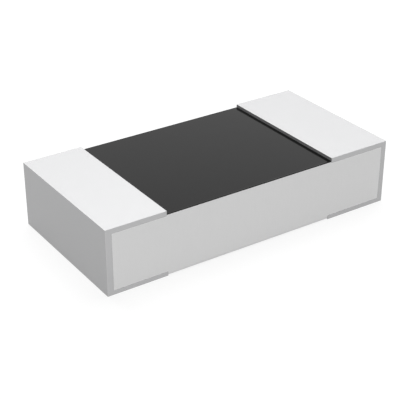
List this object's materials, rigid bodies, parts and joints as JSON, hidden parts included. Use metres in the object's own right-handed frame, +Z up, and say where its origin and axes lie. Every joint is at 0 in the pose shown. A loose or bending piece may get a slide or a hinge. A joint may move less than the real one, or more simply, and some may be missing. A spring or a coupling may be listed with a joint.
{
  "type": "smd chip resistor",
  "caption": "Flat rectangular thick-film chip resistor: ceramic block, dark overcoat on top and tin-plated terminals wrapped round both ends for surface soldering.",
  "frame": {"origin": "under the middle of the chip, on the plane of its solder lands", "axes": "+X along the chip, +Y across it, +Z up out of the overcoated face"},
  "size_m": [0.0032, 0.0016, 0.0007],
  "materials": {
    "alumina": "matt fired alumina",
    "silver_ink": "matt fired silver ink",
    "resistor_ink": "satin fired resistor ink",
    "cover_glass": "clear fired glass",
    "overcoat_epoxy": "satin dark grey epoxy",
    "end_paste": "matt silver-filled paste",
    "nickel": "satin nickel plate",
    "tin": "matt tin plate"
  },
  "bodies": {
    "root": {"ceramic_substrate": "alumina", "bottom_electrode_left": "silver_ink", "bottom_electrode_right": "silver_ink", "inner_electrode_left": "silver_ink", "inner_electrode_right": "silver_ink", "upper_electrode_left": "silver_ink", "upper_electrode_right": "silver_ink", "resistor_film": "resistor_ink", "glass_coat": "cover_glass", "overcoat": "overcoat_epoxy", "end_termination_left": "end_paste", "end_termination_right": "end_paste", "nickel_barrier_left": "nickel", "nickel_barrier_right": "nickel", "tin_plating_left": "tin", "tin_plating_right": "tin"}
  },
  "joints": []
}
